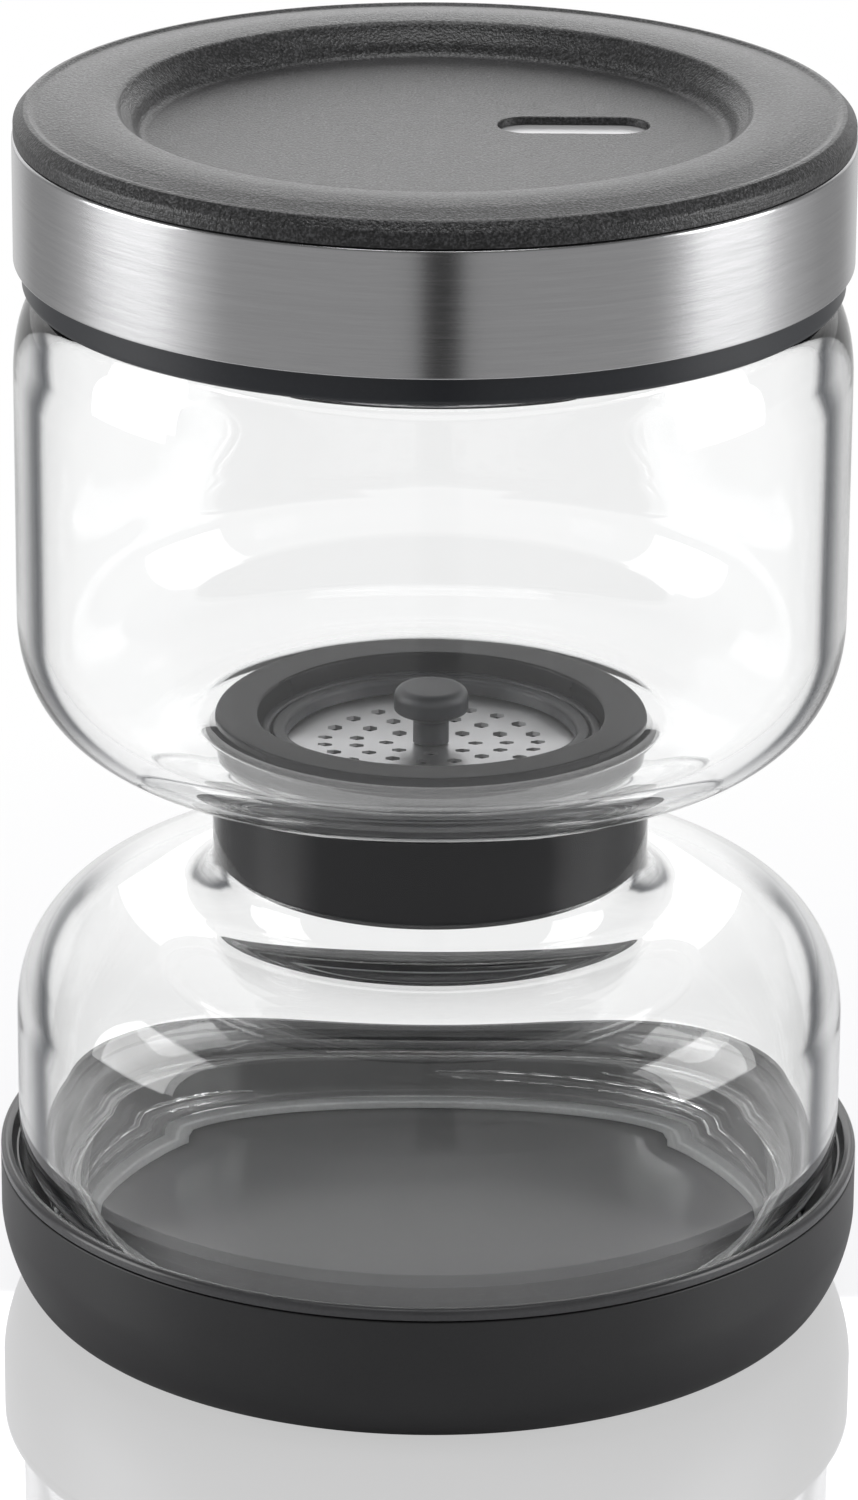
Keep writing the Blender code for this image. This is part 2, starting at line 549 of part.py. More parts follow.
def make_neck_collar(axis):
    """Soft sleeve in the glass neck, whose lip rests on the bowl and whose step holds the frame."""
    seat = COLLAR_HEIGHT - COLLAR_SEAT_DEPTH
    flange = arc(COLLAR_FLANGE_CENTRE, COLLAR_FLANGE_RADIUS, COLLAR_FLANGE_RADIUS,
                 180 - COLLAR_FLANGE_DEGREES, 180, FILLET_STEPS)
    profile = [(flange[0][0], COLLAR_HEIGHT)] + flange
    profile += [(COLLAR_RADIUS, COLLAR_CHAMFER), (COLLAR_RADIUS - COLLAR_CHAMFER, 0.0),
                (COLLAR_BORE, 0.0), (COLLAR_BORE, seat),
                (COLLAR_SEAT_RADIUS, seat), (COLLAR_SEAT_RADIUS, COLLAR_HEIGHT)]
    collar = turned("neck_collar", profile, NECK_SEGMENTS)
    place(collar, axis, COLLAR_LEVEL, new_material("collar_silicone", (0.025, 0.025, 0.03), 0.35))


def make_strainer_frame(axis):
    """Ring with a ledge that carries the perforated disc."""
    wall_bore = STRAINER_RADIUS - FRAME_WALL
    frame = turned("strainer_frame",
                   [(STRAINER_RADIUS, FRAME_HEIGHT), (STRAINER_RADIUS, 0.0), (FRAME_BORE, 0.0),
                    (FRAME_BORE, FRAME_LEDGE), (wall_bore, FRAME_LEDGE),
                    (wall_bore, FRAME_HEIGHT)], NECK_SEGMENTS)
    place(frame, axis, FRAME_LEVEL, new_material("frame_plastic", (0.05, 0.05, 0.055), 0.45))


def make_strainer_clamp(axis):
    """Ring pressed into the frame over the disc."""
    clamp = turned("strainer_clamp",
                   [(DISC_RADIUS, CLAMP_HEIGHT), (DISC_RADIUS, 0.0), (FRAME_BORE, 0.0),
                    (FRAME_BORE, CLAMP_HEIGHT)], NECK_SEGMENTS)
    place(clamp, axis, CLAMP_LEVEL, new_material("clamp_plastic", (0.05, 0.05, 0.055), 0.45))


def hole_tools():
    """Rings of round pins that punch the strainer disc."""
    shape = bmesh.new()
    depth = STRAINER_DISC + 2 * OVERRUN
    ring_radius = HOLE_FIRST_RING
    while ring_radius + HOLE_RADIUS + EDGE < FRAME_BORE:
        count = int(math.tau * ring_radius / HOLE_PITCH)
        for index in range(count):
            angle = math.tau * index / count
            pin = bmesh.ops.create_cone(shape, cap_ends=True, segments=HOLE_SIDES,
                                        radius1=HOLE_RADIUS, radius2=HOLE_RADIUS, depth=depth)
            bmesh.ops.translate(shape, verts=pin["verts"],
                                vec=(ring_radius * math.cos(angle), ring_radius * math.sin(angle),
                                     STRAINER_DISC / 2))
        ring_radius += HOLE_PITCH
    mesh = bpy.data.meshes.new("strainer_holes")
    shape.to_mesh(mesh)
    shape.free()
    return link(bpy.data.objects.new("strainer_holes", mesh), is_cutter=True)


def make_strainer_disc(axis):
    """Perforated steel disc with a hole in its middle for the knob's stem."""
    bore = KNOB_STEM_RADIUS + FIT
    disc = turned("strainer_disc", [(DISC_RADIUS, STRAINER_DISC), (DISC_RADIUS, 0.0), (bore, 0.0),
                                    (bore, STRAINER_DISC)], NECK_SEGMENTS)
    combine(disc, hole_tools(), "DIFFERENCE")
    place(disc, axis, DISC_LEVEL, new_material("disc_steel", (0.6, 0.6, 0.6), 0.3, metallic=1.0))


def make_strainer_knob(axis):
    """Knob that the strainer is lifted by. Its stem passes the disc and its foot holds it."""
    top = KNOB_COLLAR_HEIGHT + KNOB_HEIGHT
    head_foot = top - KNOB_HEAD_HEIGHT
    neck_foot = head_foot - (KNOB_HEAD_RADIUS - KNOB_WAIST_RADIUS) / 2
    profile = [(0.0, top)]
    profile += arc((KNOB_HEAD_RADIUS - KNOB_HEAD_ROUND, top - KNOB_HEAD_ROUND), KNOB_HEAD_ROUND,
                   KNOB_HEAD_ROUND, 90, 0, FILLET_STEPS)
    profile += [(KNOB_HEAD_RADIUS, head_foot), (KNOB_WAIST_RADIUS, neck_foot),
                (KNOB_WAIST_RADIUS, KNOB_COLLAR_HEIGHT), (KNOB_STEM_RADIUS, KNOB_COLLAR_HEIGHT),
                (KNOB_STEM_RADIUS, KNOB_FOOT_HEIGHT), (KNOB_FOOT_RADIUS, KNOB_FOOT_HEIGHT),
                (KNOB_FOOT_RADIUS, 0.0), (0.0, 0.0)]
    knob = turned("strainer_knob", profile, KNOB_SEGMENTS)
    place(knob, axis, KNOB_LEVEL, new_material("knob_plastic", (0.04, 0.04, 0.045), 0.4))


clear_scene()
parts = new_collection(COLLECTION_NAME)
cutters = new_collection(CUTTER_COLLECTION_NAME)

base_axis = new_axis("base_axis", 0.0)
make_base_foot(base_axis)
make_base_shell(base_axis)
make_base_liner(base_axis)
make_seal("base_seal", base_axis, BASE_SEAL_LEVEL, BASE_SEAL_THICKNESS)

jar_axis = new_axis("jar_axis", GLASS_LEVEL, base_axis)
make_glass_body(jar_axis)
make_neck_collar(jar_axis)

strainer_axis = new_axis("strainer_axis", FRAME_LEVEL, jar_axis)
make_strainer_frame(strainer_axis)
make_strainer_disc(strainer_axis)
make_strainer_clamp(strainer_axis)
make_strainer_knob(strainer_axis)

lid_axis = new_axis("lid_axis", CORE_LEVEL, jar_axis)
make_seal("lid_seal", lid_axis, LID_SEAL_LEVEL, LID_SEAL_THICKNESS)
make_lid_core(lid_axis)
make_lid_band(lid_axis)
make_lid_cap(lid_axis)
make_lid_badge(lid_axis)
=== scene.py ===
"""Looks of a waisted glass storage jar: turned pieces, finishes, studio and camera.

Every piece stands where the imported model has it. Outlines are lists of corners, each a radius,
a height above the table and a rounding, all in millimetres.
"""
import json
import math

import bmesh
import bpy
import numpy as np
from mathutils import Euler, Matrix, Vector

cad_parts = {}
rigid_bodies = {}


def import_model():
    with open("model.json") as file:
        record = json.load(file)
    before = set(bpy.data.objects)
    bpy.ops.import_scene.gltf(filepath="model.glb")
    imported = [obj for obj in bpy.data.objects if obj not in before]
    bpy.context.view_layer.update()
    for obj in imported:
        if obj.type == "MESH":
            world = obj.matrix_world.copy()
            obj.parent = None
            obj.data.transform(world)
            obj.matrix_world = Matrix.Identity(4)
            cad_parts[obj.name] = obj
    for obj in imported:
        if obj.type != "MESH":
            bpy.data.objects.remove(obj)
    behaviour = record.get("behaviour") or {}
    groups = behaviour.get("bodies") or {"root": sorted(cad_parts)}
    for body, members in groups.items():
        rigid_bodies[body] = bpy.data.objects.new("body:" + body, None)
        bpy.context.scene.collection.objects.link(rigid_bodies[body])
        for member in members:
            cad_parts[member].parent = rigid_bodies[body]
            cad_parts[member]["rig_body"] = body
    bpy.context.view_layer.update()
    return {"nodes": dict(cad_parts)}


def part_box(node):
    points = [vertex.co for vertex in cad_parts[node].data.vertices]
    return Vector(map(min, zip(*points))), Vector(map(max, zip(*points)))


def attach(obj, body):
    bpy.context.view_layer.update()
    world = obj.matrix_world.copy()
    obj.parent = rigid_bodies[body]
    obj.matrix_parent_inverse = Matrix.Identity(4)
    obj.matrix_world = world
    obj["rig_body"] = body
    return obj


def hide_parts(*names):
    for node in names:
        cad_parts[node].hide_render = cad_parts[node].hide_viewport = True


bl_info = {
    "name": "Waisted Storage Jar",
    "version": (1, 0, 0),
    "blender": (4, 5, 0),
    "location": "3D Viewport > Sidebar > Jar",
    "description": "Builds a glass storage jar with a screw lid, a base cup and a strainer",
    "category": "Add Mesh",
}

MM = 0.001

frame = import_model()


# ---------------------------------------------------------------- settings

class JarShape(bpy.types.PropertyGroup):
    """Sizes that all turned pieces share."""
    facets: bpy.props.IntProperty(
        name="Facets", description="Sides of a wide turned piece", default=256, min=48)
    rounding_steps: bpy.props.IntProperty(
        name="Rounding Steps", description="Chords in a quarter turn of a rounded corner",
        default=7, min=2)
    glass_wall: bpy.props.FloatProperty(
        name="Glass Wall", description="Thickness of the glass", default=3.2 * MM,
        unit="LENGTH", precision=4)
    neck_radius: bpy.props.FloatProperty(
        name="Neck Radius", description="Outside radius of the glass neck", default=29.3 * MM,
        unit="LENGTH", precision=4)
    thread_lead: bpy.props.FloatProperty(
        name="Thread Lead", description="Rise of the screw threads in one turn",
        default=12.0 * MM, unit="LENGTH", precision=4)
    thread_starts: bpy.props.IntProperty(
        name="Thread Starts", description="Ridges side by side round a mouth", default=3, min=1)
    collar_press: bpy.props.FloatProperty(
        name="Collar Press", description="How far the soft collar presses into the neck's face",
        default=0.04 * MM, unit="LENGTH", precision=5)


class JarFinish(bpy.types.PropertyGroup):
    """Colours and surface detail."""
    glass_colour: bpy.props.FloatVectorProperty(
        name="Glass Colour", description="Colour that light keeps on a long way through the glass",
        subtype="COLOR", size=3, default=(0.80, 0.86, 0.86), min=0.0, max=1.0)
    glass_density: bpy.props.FloatProperty(
        name="Glass Density", description="How fast the glass takes that colour on",
        default=8.0, min=0.0)
    # Painted shade: the dark tint of the line along the glass's sides, standing in for the darker
    # room that the inner wall mirrors there.
    painted_edge_shade_colour: bpy.props.FloatVectorProperty(
        name="Glass Edge", description="Darkest tone of the line along the glass's sides",
        subtype="COLOR", size=3, default=(0.008, 0.009, 0.011), min=0.0, max=1.0)
    cap_colour: bpy.props.FloatVectorProperty(
        name="Cap Colour", description="Grained plastic of the cap", subtype="COLOR", size=3,
        default=(0.026, 0.026, 0.027), min=0.0, max=1.0)
    grain_size: bpy.props.FloatProperty(
        name="Grain Size", description="Width of a grain on the cap", default=0.35 * MM,
        unit="LENGTH", precision=5)
    steel_colour: bpy.props.FloatVectorProperty(
        name="Steel Colour", description="Brushed band and strainer", subtype="COLOR", size=3,
        default=(0.62, 0.62, 0.63), min=0.0, max=1.0)
    plate_colour: bpy.props.FloatVectorProperty(
        name="Plate Colour", description="Satin plate in the cap's window", subtype="COLOR",
        size=3, default=(0.88, 0.88, 0.89), min=0.0, max=1.0)
    brush_width: bpy.props.FloatProperty(
        name="Brush Width", description="Height of one brushed line on the band",
        default=0.09 * MM, unit="LENGTH", precision=5)
    brush_length: bpy.props.FloatProperty(
        name="Brush Length", description="Length of one brushed line on the band",
        default=6.0 * MM, unit="LENGTH", precision=4)
    skirt_colour: bpy.props.FloatVectorProperty(
        name="Skirt Colour", description="Satin plastic of the threaded lid core",
        subtype="COLOR", size=3, default=(0.022, 0.024, 0.029), min=0.0, max=1.0)
    base_colour: bpy.props.FloatVectorProperty(
        name="Base Colour", description="Soft-touch plastic of the base cup", subtype="COLOR",
        size=3, default=(0.023, 0.023, 0.024), min=0.0, max=1.0)
    collar_colour: bpy.props.FloatVectorProperty(
        name="Collar Colour", description="Silicone of the neck collar", subtype="COLOR", size=3,
        default=(0.008, 0.008, 0.010), min=0.0, max=1.0)
    seal_colour: bpy.props.FloatVectorProperty(
        name="Seal Colour", description="Silicone of the two flat seals", subtype="COLOR",
        size=3, default=(0.52, 0.53, 0.53), min=0.0, max=1.0)


class JarStage(bpy.types.PropertyGroup):
    """Camera, lamps and floor."""
    camera_distance: bpy.props.FloatProperty(
        name="Camera Distance", description="From the jar's axis to the camera, level",
        default=0.889, unit="LENGTH")
    camera_height: bpy.props.FloatProperty(
        name="Camera Height", description="From the floor to the camera", default=0.4088,
        unit="LENGTH")
    camera_pitch: bpy.props.FloatProperty(
        name="Camera Pitch", description="How far the camera looks down",
        default=math.radians(20.52), subtype="ANGLE")
    camera_roll: bpy.props.FloatProperty(
        name="Camera Roll", description="Turn of the camera about its view",
        default=math.radians(0.39), subtype="ANGLE")
    camera_lens: bpy.props.FloatProperty(
        name="Lens", description="Focal length for a 36 mm long side, in millimetres",
        default=169.8, unit="CAMERA")
    side_light: bpy.props.FloatProperty(
        name="Side Softboxes", description="Brightness of the two side softboxes", default=4.1,
        min=0.0)
    top_light: bpy.props.FloatProperty(
        name="Top Softbox", description="Brightness of the softbox over the jar", default=4.0,
        min=0.0)
    back_light: bpy.props.FloatProperty(
        name="Back Card", description="Brightness of the card behind the jar", default=1.35,
        min=0.0)
    room_light: bpy.props.FloatProperty(
        name="Room", description="Brightness of the room in front of the jar", default=0.36,
        min=0.0)
    floor_colour: bpy.props.FloatVectorProperty(
        name="Floor Colour", description="Pale gloss of the floor", subtype="COLOR", size=3,
        default=(0.90, 0.90, 0.92), min=0.0, max=1.0)


# ---------------------------------------------------------------- shader sheets

class Wire:
    """A shader socket that takes Python's sums."""

    def __init__(self, sheet, socket):
        self.sheet = sheet
        self.socket = socket

    def _math(self, operation, *values):
        return self.sheet.node("ShaderNodeMath", {"operation": operation},
                               dict(enumerate(values)))

    def __add__(self, other):
        return self._math("ADD", self, other)

    __radd__ = __add__

    def __sub__(self, other):
        return self._math("SUBTRACT", self, other)

    def __rsub__(self, other):
        return self._math("SUBTRACT", other, self)

    def __mul__(self, other):
        return self._math("MULTIPLY", self, other)

    __rmul__ = __mul__

    def __abs__(self):
        return self._math("ABSOLUTE", self)

    def most(self, other):
        """The larger of the two."""
        return self._math("MAXIMUM", self, other)


class Sheet:
    """One node tree and the single way in which nodes are added to it."""

    def __init__(self, tree):
        self.tree = tree
        tree.nodes.clear()

    def node(self, kind, settings=None, inputs=None, output=0):
        """Add a node: its settings first, then a value or a link for each named socket."""
        made = self.tree.nodes.new(kind)
        for key, value in (settings or {}).items():
            if key == "stops":
                ramp = made.color_ramp
                while len(ramp.elements) < len(value):
                    ramp.elements.new(0.5)
                for stop, (position, level) in zip(ramp.elements, value):
                    stop.position = position
                    stop.color = (level, level, level, 1.0)
            else:
                setattr(made, key, value)
        for key, value in (inputs or {}).items():
            socket = self.find(made.inputs, key)
            if isinstance(value, Wire):
                self.tree.links.new(value.socket, socket)
            else:
                socket.default_value = value
        return Wire(self, self.find(made.outputs, output))

    @staticmethod
    def find(sockets, key):
        """A socket by its number, identifier or name."""
        if isinstance(key, int):
            return sockets[key]
        return next((s for s in sockets if s.identifier == key), None) or sockets[key]

    def part(self, vector, axis):
        """One coordinate of a vector."""
        return self.node("ShaderNodeSeparateXYZ", {}, {"Vector": vector}, axis)

    def place(self, scale=(1.0, 1.0, 1.0), turn=(0.0, 0.0, 0.0)):
        """The point on the piece in metres, scaled along each axis."""
        point = self.node("ShaderNodeTexCoord", output="Object")
        return self.node("ShaderNodeMapping", {"vector_type": "POINT"},
                         {"Vector": point, "Scale": scale, "Rotation": turn})

    def noise(self, size, detail=2.0, roughness=0.5, stretch=(1.0, 1.0, 1.0), turn=(0, 0, 0)):
        """Noise whose lumps are about as wide as the given size."""
        scale = tuple(side / size for side in stretch)
        return self.node("ShaderNodeTexNoise", {"noise_dimensions": "3D"},
                         {"Vector": self.place(scale, turn), "Scale": 1.0, "Detail": detail,
                          "Roughness": roughness}, "Fac")

    def ramp(self, value, *stops):
        """A grey ramp with (position, level) stops."""
        return self.node("ShaderNodeValToRGB", {"stops": stops}, {"Fac": value}, "Color")

    def blend(self, factor, first, second, how="MIX"):
        """Mix two colours."""
        return self.node("ShaderNodeMix", {"data_type": "RGBA", "blend_type": how},
                         {"Factor_Float": factor, "A_Color": first, "B_Color": second},
                         "Result_Color")

    def bump(self, height, distance, strength=1.0):
        """A normal from a height between 0 and 1."""
        return self.node("ShaderNodeBump", {}, {"Height": height, "Distance": distance,
                                                "Strength": strength}, "Normal")

    def ray(self, kind):
        """One for a ray of the given kind."""
        return self.node("ShaderNodeLightPath", output=f"Is {kind} Ray")

    def studio(self, vector, *stops):
        """Grey levels round the jar, by the bearing of a vector from the camera's, over 180."""
        bearing = self.node("ShaderNodeMath", {"operation": "ARCTAN2"},
                            {0: self.part(vector, "X"), 1: -1.0 * self.part(vector, "Y")})
        return self.ramp(abs(bearing - math.radians(2.0)) * (1.0 / math.pi),
                         *((degrees / 180.0, level) for degrees, level in stops))

    def surface(self, **sockets):
        """A Principled shader. Socket names are written with underscores."""
        return self.node("ShaderNodeBsdfPrincipled", {},
                         {key.replace("_", " "): value for key, value in sockets.items()})

    def finish(self, surface, volume=None):
        """Join the shaders to the output."""
        sockets = {"Surface": surface}
        if volume:
            sockets["Volume"] = volume
        self.node_output("ShaderNodeOutputMaterial", sockets)

    def node_output(self, kind, sockets):
        """Add an output node, which has no sockets of its own to give back."""
        made = self.tree.nodes.new(kind)
        for key, value in sockets.items():
            self.tree.links.new(value.socket, made.inputs[key])


def rgba(colour, share=1.0):
    """A colour with its alpha, lighter or darker by a share."""
    return (*(part * share for part in colour), 1.0)


def new_finish(name):
    """A material and its empty sheet."""
    made = bpy.data.materials.new(name)
    made.use_nodes = True
    return made, Sheet(made.node_tree)


# ---------------------------------------------------------------- finishes

def clear_glass():
    """Pressed clear glass with a slow ripple and a painted dark line along the wall's sides.

    A ray that enters at one slant meets the inner wall so flatly that it is mirrored there. The
    line paints the shade of that mirrored room as dark tinted glass. It is mixed in where Facing
    has that value, which depends on how far the wall tilts.
    """
    look = bpy.context.scene.jar_finish
    made, sheet = new_finish("clear_glass")
    ripple = sheet.noise(34 * MM, detail=1.0)
    normal = sheet.bump(ripple, 0.08 * MM, 0.6)
    clear = sheet.surface(Base_Color=(1.0, 1.0, 1.0, 1.0), Roughness=0.0, IOR=1.5,
                          Transmission_Weight=1.0, Normal=normal)
    # Dark tinted glass: painted shade for the mirrored room along the sides.
    painted_shade_glass = sheet.surface(Base_Color=rgba(look.painted_edge_shade_colour), Roughness=0.0, IOR=1.5,
                           Transmission_Weight=1.0, Normal=normal)
    facing = sheet.node("ShaderNodeLayerWeight", {}, {"Blend": 0.5}, "Facing")
    outside = sheet.node("ShaderNodeTexCoord", output="Normal")
    tilt = sheet.part(outside, "Z")
    centre = sheet.ramp(tilt, (0.0, 0.705), (0.06, 0.670), (0.17, 0.612), (0.45, 0.618),
                        (0.60, 0.65), (0.85, 0.715))
    line = sheet.ramp(facing - centre + 0.5, (0.30, 0.02), (0.43, 0.12), (0.45, 0.30),
                      (0.475, 0.84), (0.495, 0.96), (0.525, 0.84), (0.56, 0.58),
                      (0.61, 0.26), (0.70, 0.16))
    upright = sheet.ramp(tilt * 0.5 + 0.5, (0.12, 0.0), (0.32, 1.0), (0.94, 1.0), (0.99, 0.0))
    around = sheet.node("ShaderNodeVectorMath", {"operation": "MULTIPLY"},
                        {0: sheet.node("ShaderNodeTexCoord", output="Object"),
                         1: (1.0, 1.0, 0.0)})
    outward = sheet.node("ShaderNodeVectorMath", {"operation": "DOT_PRODUCT"},
                         {0: around, 1: outside}, "Value")
    is_outer = sheet.node("ShaderNodeMath", {"operation": "GREATER_THAN"}, {0: outward, 1: 0.0})
    # Where the painted dark line shows: the outer skin of the upright walls, at one band of
    # Facing.
    edge = line * upright * is_outer
    shader = sheet.node("ShaderNodeMixShader", {}, {0: edge, 1: clear, 2: painted_shade_glass})
    volume = sheet.node("ShaderNodeVolumeAbsorption", {},
                        {"Color": rgba(look.glass_colour), "Density": look.glass_density})
    sheet.finish(shader, volume)
    return made


def grained_plastic():
    """Dark moulded plastic with a spark-eroded grain and faint turned lines on its side."""
    look = bpy.context.scene.jar_finish
    made, sheet = new_finish("grained_plastic")
    grain = sheet.noise(look.grain_size, detail=1.5, roughness=0.6)
    coarse = sheet.noise(look.grain_size * 2.6, detail=1.0)
    upright = sheet.part(sheet.node("ShaderNodeNewGeometry", output="Normal"), "Z")
    side = sheet.ramp(abs(upright), (0.15, 1.0), (0.45, 0.0))
    lines = sheet.noise(0.22 * MM, detail=1.0, stretch=(0.03, 0.03, 1.0))
    height = grain * 0.8 + coarse * 0.3 + lines * side * 0.4
    tone = sheet.ramp(grain * 0.8 + coarse * 0.2, (0.36, 0.15), (0.50, 1.0), (0.64, 3.0))
    colour = sheet.blend(1.0, rgba(look.cap_colour), tone, "MULTIPLY")
    shader = sheet.surface(Base_Color=colour, Roughness=0.32 + coarse * 0.12, IOR=1.55,
                           Normal=sheet.bump(height, 0.14 * MM, 1.0))
    sheet.finish(shader)
    return made


def brushed_steel(name="brushed_steel", tone=1.0, roughness=0.18):
    """Stainless steel with short fine lines that run round the jar."""
    look = bpy.context.scene.jar_finish
    made, sheet = new_finish(name)
    run = look.brush_width / look.brush_length
    fine = sheet.noise(look.brush_width, detail=3.0, roughness=0.6, stretch=(run, run, 1.0))
    broad = sheet.noise(look.brush_width * 5, detail=1.0, stretch=(run, run, 1.0))
    streak = fine * 0.7 + broad * 0.3
    light = sheet.ramp(streak, (0.30, 0.92), (0.70, 1.06))
    colour = sheet.blend(1.0, rgba(look.steel_colour, tone), light, "MULTIPLY")
    shader = sheet.surface(Base_Color=colour, Metallic=1.0, Roughness=roughness + streak * 0.10,
                           Anisotropic=0.65, Anisotropic_Rotation=0.25,
                           Normal=sheet.bump(streak, 0.003 * MM, 0.5))
    sheet.finish(shader)
    return made


def bare_plate():
    """Bright satin plate with hardly any grain."""
    look = bpy.context.scene.jar_finish
    made, sheet = new_finish("bare_plate")
    grain = sheet.noise(0.12 * MM, detail=2.0, stretch=(0.04, 1.0, 1.0))
    light = sheet.ramp(grain, (0.30, 0.95), (0.70, 1.03))
    colour = sheet.blend(1.0, rgba(look.plate_colour), light, "MULTIPLY")
    shader = sheet.surface(Base_Color=colour, Metallic=0.55, Roughness=0.34 + grain * 0.06,
                           Normal=sheet.bump(grain, 0.004 * MM, 0.4))
    sheet.finish(shader)
    return made


def moulded(name, colour, roughness, size, depth, ior=1.5):
    """Moulded plastic or rubber with a fine skin of the given grain size and depth."""
    made, sheet = new_finish(name)
    skin = sheet.noise(size, detail=2.0, roughness=0.6)
    cloud = sheet.noise(18 * MM, detail=2.0)
    tone = sheet.ramp(skin * 0.5 + cloud * 0.5, (0.30, 0.86), (0.70, 1.14))
    shader = sheet.surface(Base_Color=sheet.blend(1.0, rgba(colour), tone, "MULTIPLY"),
                           Roughness=roughness - 0.04 + cloud * 0.08, IOR=ior,
                           Normal=sheet.bump(skin, depth, 0.6))
    sheet.finish(shader)
    return made


# ---------------------------------------------------------------- turned shapes

def rounded(corners):
    """Points of an outline, in metres, from corners with a radius, a height and a rounding.

    A corner without a rounding stays sharp.
    """
    steps = bpy.context.scene.jar_shape.rounding_steps
    spots = [Vector(corner[:2]) for corner in corners]
    sides = [(spots[index - 1] - spot, spots[(index + 1) % len(spots)] - spot)
             for index, spot in enumerate(spots)]
    reach = [corner[2] / math.tan(back.angle(ahead) / 2) if len(corner) > 2 else 0.0
             for corner, (back, ahead) in zip(corners, sides)]
    points = []
    for index, (spot, (back, ahead)) in enumerate(zip(spots, sides)):
        if reach[index] == 0.0:
            points.append(spot)
            continue
        before = back.length - reach[index] - reach[index - 1]
        after = ahead.length - reach[index] - reach[(index + 1) % len(reach)]
        rounding = corners[index][2]
        back, ahead = back.normalized(), ahead.normalized()
        centre = spot + (back + ahead).normalized() * math.hypot(rounding, reach[index])
        start = spot + back * reach[index] - centre
        turn = start.angle_signed(spot + ahead * reach[index] - centre)
        count = max(2, round(abs(turn) / (math.pi / 2) * steps))
        if before > 0.4:
            points.append(spot + back * (reach[index] + 0.12))
        points += [centre + Matrix.Rotation(-turn * step / count, 2) @ start
                   for step in range(count + 1)]
        if after > 0.4:
            points.append(spot + ahead * (reach[index] + 0.12))
    clean = [points[0]]
    for point in points[1:]:
        if min((point - clean[-1]).length, (point - clean[0]).length) > 0.01:
            clean.append(point)
    return [(point.x * MM, point.y * MM) for point in clean]


def swell(centre, width, height, start, end, steps, fullness=2.0):
    """Points of an elliptic corner from one angle to another, both in degrees."""
    points = []
    for angle in np.radians(np.linspace(start, end, steps + 1)):
        across, up = math.cos(angle), math.sin(angle)
        points.append((centre[0] + width * math.copysign(abs(across) ** (2 / fullness), across),
                       centre[1] + height * math.copysign(abs(up) ** (2 / fullness), up)))
    return points


def wall(radius, start, end, step=0.22):
    """Points along an upright wall, close enough together to carry a thread."""
    count = max(1, round(abs(end - start) / step))
    return [(radius, level) for level in np.linspace(start, end, count + 1)]


def turned(name, outline, facets=None, reshape=None):
    """Turn an outline about the jar's axis. It runs down its outer side.

    One that starts and ends on the axis is closed there, and any other is a closed ring.
    """
    facets = facets or bpy.context.scene.jar_shape.facets
    is_ring = outline[0][0] > 0.0
    rows = outline if is_ring else outline[1:-1]
    radius = np.array([row[0] for row in rows])[:, None] * np.ones((1, facets))
    height = np.array([row[1] for row in rows])[:, None] * np.ones((1, facets))
    angle = np.arange(facets)[None, :] * math.tau / facets * np.ones((len(rows), 1))
    if reshape:
        radius = reshape(radius, height, angle)
    grid = np.stack([radius * np.cos(angle), radius * np.sin(angle), height], -1)
    points = grid.reshape(-1, 3).tolist()
    here = np.arange(len(rows) * facets).reshape(len(rows), facets)
    if is_ring:
        below = np.roll(here, -1, 0)
    else:
        here, below = here[:-1], here[1:]
    faces = np.stack([here, below, np.roll(below, -1, 1), np.roll(here, -1, 1)],
                     -1).reshape(-1, 4).tolist()
    if not is_ring:
        final = (len(rows) - 1) * facets
        for pole, first, step in ((outline[0], 0, 1), (outline[-1], final, -1)):
            points.append((0.0, 0.0, pole[1]))
            for side in range(facets):
                pair = (first + side, first + (side + 1) % facets)
                faces.append((len(points) - 1, *pair[::step]))
    mesh = bpy.data.meshes.new(name)
    mesh.from_pydata(points, [], faces)
    mesh.shade_smooth()
    mesh.set_sharp_from_angle(angle=math.radians(33))
    made = bpy.data.objects.new(name, mesh)
    bpy.context.scene.collection.objects.link(made)
    return made


def helix(radius, height, angle, level, axis_radius, wire, first, share, is_inside=False):
    """Raise round ridges on an upright wall along the jar's right-hand thread.

    Each is a wire laid at a radius about the axis. It starts at a share of the turn and runs on
    for another share, and its ends are blunt and then fade in.
    """
    shape = bpy.context.scene.jar_shape
    level, axis_radius, wire = level * MM, axis_radius * MM, wire * MM
    blunt, fade = 0.006, 0.03
    for start in range(shape.thread_starts):
        turn = (angle / math.tau - start / shape.thread_starts) % 1.0
        along = np.clip(np.minimum(turn - first, first + share - turn), 0.0, None)
        taper = np.clip(along / blunt, 0.0, 1.0) ** 0.5
        taper = taper * (0.5 + 0.5 * np.clip(along / fade, 0.0, 1.0))
        off = height - level - shape.thread_lead * turn
        stand = np.sqrt(np.clip((wire * taper) ** 2 - off ** 2, 0.0, None))
        if is_inside:
            radius = np.where(stand > 0, np.minimum(radius, axis_radius - stand), radius)
        else:
            radius = np.where(stand > 0, np.maximum(radius, axis_radius + stand), radius)
    return radius


def lugs(level):
    """A reshape that raises short ridges inside a threaded wall, from the level given in mm."""
    bore, reach = 52.3, 0.1

    def reshape(radius, height, angle):
        near = np.abs(radius - bore * MM) < reach * MM
        ridged = helix(radius, height, angle, level, bore + reach, 1.0, 0.08, 0.09,
                       is_inside=True)
        return np.where(near, ridged, radius)

    return reshape


def seat(piece, material, slot, *nodes):
    """Give a piece its finish and put it in place of CAD nodes, on the body that they ride."""
    piece.data.materials.append(material)
    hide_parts(*nodes)
    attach(piece, frame["nodes"][nodes[0]]["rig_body"])
    return piece


# ---------------------------------------------------------------- pieces

